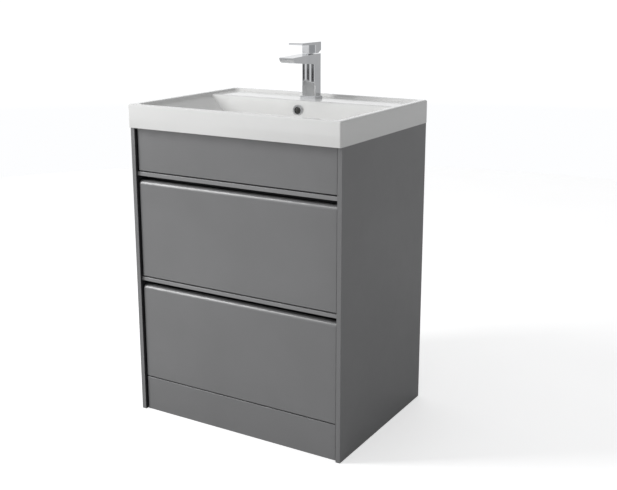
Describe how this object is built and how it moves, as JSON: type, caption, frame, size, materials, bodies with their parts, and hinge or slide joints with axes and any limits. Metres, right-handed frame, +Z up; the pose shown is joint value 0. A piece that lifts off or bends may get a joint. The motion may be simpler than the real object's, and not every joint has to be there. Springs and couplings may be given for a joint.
{
  "type": "bathroom vanity cabinet",
  "caption": "Floor-standing handleless bathroom vanity: painted cabinet with soft-edged pull-out drawers, rectangular ceramic basin and square single-lever mixer tap.",
  "frame": {"origin": "on the floor, at the middle of the whole object's footprint", "axes": "+Z up; the drawers open towards -Y; +X is the viewer's right when facing the fronts"},
  "size_m": [0.6, 0.457, 0.952],
  "materials": {
    "grey_front": "matt mid-grey paint on board",
    "carcass_board": "mid-grey melamine-faced board",
    "drawer_board": "light grey linen-textured melamine",
    "beech": "raw beech",
    "channel_dark": "matt dark lacquer",
    "ceramic": "white glazed ceramic",
    "chrome": "polished chrome",
    "zinc_steel": "zinc-plated steel",
    "fitting_plastic": "moulded grey plastic",
    "plastic_white": "moulded white plastic",
    "aerator_grey": "moulded grey plastic",
    "rubber_seal": "black rubber",
    "brass": "machined brass"
  },
  "bodies": {
    "cabinet": {"back_rail_bottom": "carcass_board", "back_rail_top": "carcass_board", "basin": "ceramic", "bottom_panel": "carcass_board", "bracket_screws": "zinc_steel", "carcass_dowels": "beech", "fascia_panel": "grey_front", "front_rail": "carcass_board", "lower_channel_back": "channel_dark", "lower_handle_rail": "grey_front", "lower_runner_fixed_left": "zinc_steel", "lower_runner_fixed_right": "zinc_steel", "overflow_ring": "chrome", "plinth_corner_blocks": "carcass_board", "plinth_panel": "grey_front", "side_panel_left": "grey_front", "side_panel_right": "grey_front", "tap_aerator": "aerator_grey", "tap_body": "chrome", "tap_cartridge": "plastic_white", "tap_cartridge_nut": "chrome", "tap_fixing_nut": "brass", "tap_fixing_stud": "brass", "tap_fixing_washer": "zinc_steel", "tap_foot": "chrome", "upper_channel_back": "channel_dark", "upper_handle_rail": "grey_front", "upper_runner_fixed_left": "zinc_steel", "upper_runner_fixed_right": "zinc_steel", "wall_brackets": "zinc_steel", "waste_body": "chrome", "waste_flange_seal": "rubber_seal", "waste_nut": "plastic_white", "waste_plug_guide": "plastic_white", "waste_washer": "rubber_seal"},
    "upper_drawer": {"upper_drawer_back_boards": "drawer_board", "upper_drawer_base": "drawer_board", "upper_drawer_front": "grey_front", "upper_drawer_front_brackets": "fitting_plastic", "upper_drawer_side_left": "drawer_board", "upper_drawer_side_right": "drawer_board", "upper_drawer_trap_surround": "drawer_board", "upper_runner_inner_left": "zinc_steel", "upper_runner_inner_right": "zinc_steel"},
    "upper_slides": {"upper_runner_middle_left": "zinc_steel", "upper_runner_middle_right": "zinc_steel"},
    "lower_drawer": {"lower_drawer_back": "drawer_board", "lower_drawer_base": "drawer_board", "lower_drawer_front": "grey_front", "lower_drawer_front_brackets": "fitting_plastic", "lower_drawer_side_left": "drawer_board", "lower_drawer_side_right": "drawer_board", "lower_runner_inner_left": "zinc_steel", "lower_runner_inner_right": "zinc_steel"},
    "lower_slides": {"lower_runner_middle_left": "zinc_steel", "lower_runner_middle_right": "zinc_steel"},
    "waste_plug": {"waste_plug": "chrome"},
    "tap_swivel": {"tap_driver": "plastic_white"},
    "tap_lever": {"tap_lever": "chrome", "tap_stem": "chrome"}
  },
  "joints": [
    {"name": "upper_drawer_slide", "type": "slide", "parent": "cabinet", "child": "upper_drawer", "axis": [0, -1, 0], "range_m": [0, 0.34]},
    {"name": "upper_runner_slide", "type": "slide", "parent": "cabinet", "child": "upper_slides", "axis": [0, -1, 0], "range_m": [0, 0.17]},
    {"name": "lower_drawer_slide", "type": "slide", "parent": "cabinet", "child": "lower_drawer", "axis": [0, -1, 0], "range_m": [0, 0.34]},
    {"name": "lower_runner_slide", "type": "slide", "parent": "cabinet", "child": "lower_slides", "axis": [0, -1, 0], "range_m": [0, 0.17]},
    {"name": "waste_plug_lift", "type": "slide", "parent": "cabinet", "child": "waste_plug", "axis": [0, 0, 1], "range_m": [0, 0.008]},
    {"name": "tap_temperature_turn", "type": "hinge", "parent": "cabinet", "child": "tap_swivel", "pos_m": [0, 0.1525, 0.914], "axis": [0, 0, 1], "range_deg": [-45, 45]},
    {"name": "tap_flow_lift", "type": "hinge", "parent": "tap_swivel", "child": "tap_lever", "pos_m": [0, 0.1525, 0.924], "axis": [-1, 0, 0], "range_deg": [0, 25]}
  ],
  "couplings": [
    {"joint": "upper_runner_slide", "follows": "upper_drawer_slide", "ratio": 0.5},
    {"joint": "lower_runner_slide", "follows": "lower_drawer_slide", "ratio": 0.5}
  ]
}
